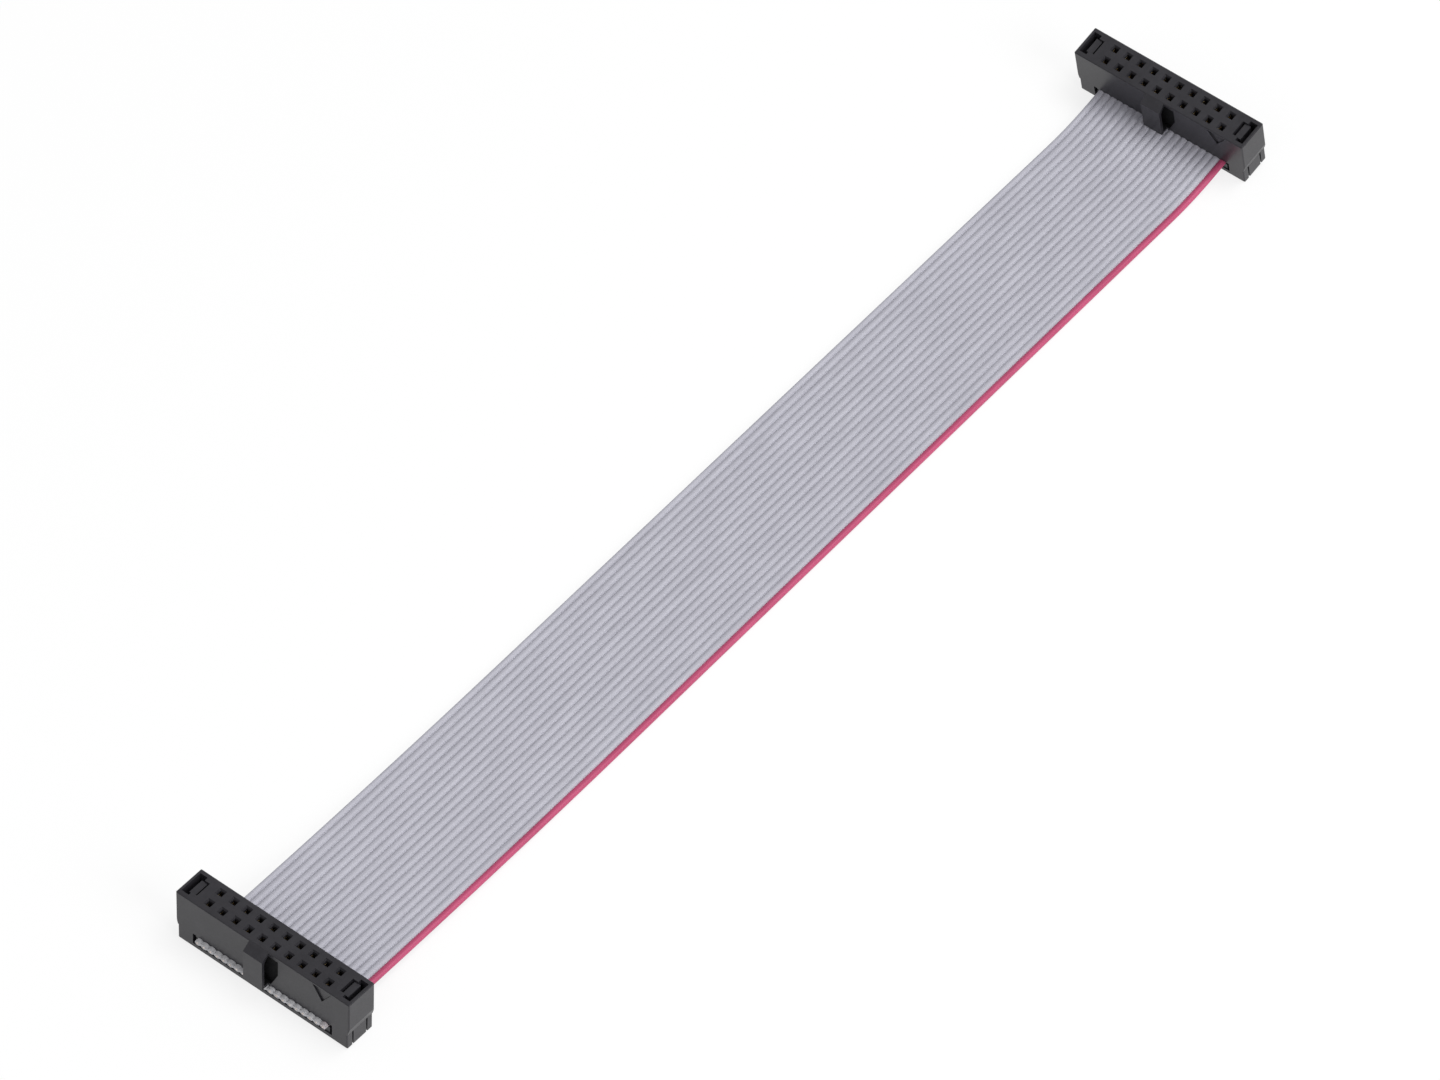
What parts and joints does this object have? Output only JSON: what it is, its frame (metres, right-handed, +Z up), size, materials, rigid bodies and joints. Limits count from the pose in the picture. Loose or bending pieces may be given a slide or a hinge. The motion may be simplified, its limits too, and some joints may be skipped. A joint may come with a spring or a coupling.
{
  "type": "ribbon cable",
  "caption": "Flat multi-wire ribbon cable with a marked edge wire and a keyed two-row insulation-displacement socket at each end, set down with its sockets leaning together.",
  "frame": {"origin": "on the surface the cable lies on, midway between the outer sides of its two sockets", "axes": "+X along the sockets towards the marked edge wire, +Y along the ribbon from the near socket to the far one, +Z up, out of the mating faces"},
  "size_m": [0.0332, 0.226, 0.011],
  "materials": {
    "socket_plastic": "moulded black thermoplastic, lightly textured",
    "grey_insulation": "cool grey flexible insulation with a soft sheen",
    "marked_insulation": "raspberry red flexible insulation with a soft sheen",
    "contact_metal": "bright plated spring metal",
    "core_copper": "drawn copper"
  },
  "bodies": {
    "root": {"near_housing": "socket_plastic", "near_cover": "socket_plastic", "far_housing": "socket_plastic", "far_cover": "socket_plastic", "ribbon_jacket": "grey_insulation", "marked_wire": "marked_insulation", "wire_cores": "core_copper", "near_contact_01": "contact_metal", "near_contact_02": "contact_metal", "near_contact_03": "contact_metal", "near_contact_04": "contact_metal", "near_contact_05": "contact_metal", "near_contact_06": "contact_metal", "near_contact_07": "contact_metal", "near_contact_08": "contact_metal", "near_contact_09": "contact_metal", "near_contact_10": "contact_metal", "near_contact_11": "contact_metal", "near_contact_12": "contact_metal", "near_contact_13": "contact_metal", "near_contact_14": "contact_metal", "near_contact_15": "contact_metal", "near_contact_16": "contact_metal", "near_contact_17": "contact_metal", "near_contact_18": "contact_metal", "near_contact_19": "contact_metal", "near_contact_20": "contact_metal", "far_contact_01": "contact_metal", "far_contact_02": "contact_metal", "far_contact_03": "contact_metal", "far_contact_04": "contact_metal", "far_contact_05": "contact_metal", "far_contact_06": "contact_metal", "far_contact_07": "contact_metal", "far_contact_08": "contact_metal", "far_contact_09": "contact_metal", "far_contact_10": "contact_metal", "far_contact_11": "contact_metal", "far_contact_12": "contact_metal", "far_contact_13": "contact_metal", "far_contact_14": "contact_metal", "far_contact_15": "contact_metal", "far_contact_16": "contact_metal", "far_contact_17": "contact_metal", "far_contact_18": "contact_metal", "far_contact_19": "contact_metal", "far_contact_20": "contact_metal"}
  },
  "joints": []
}
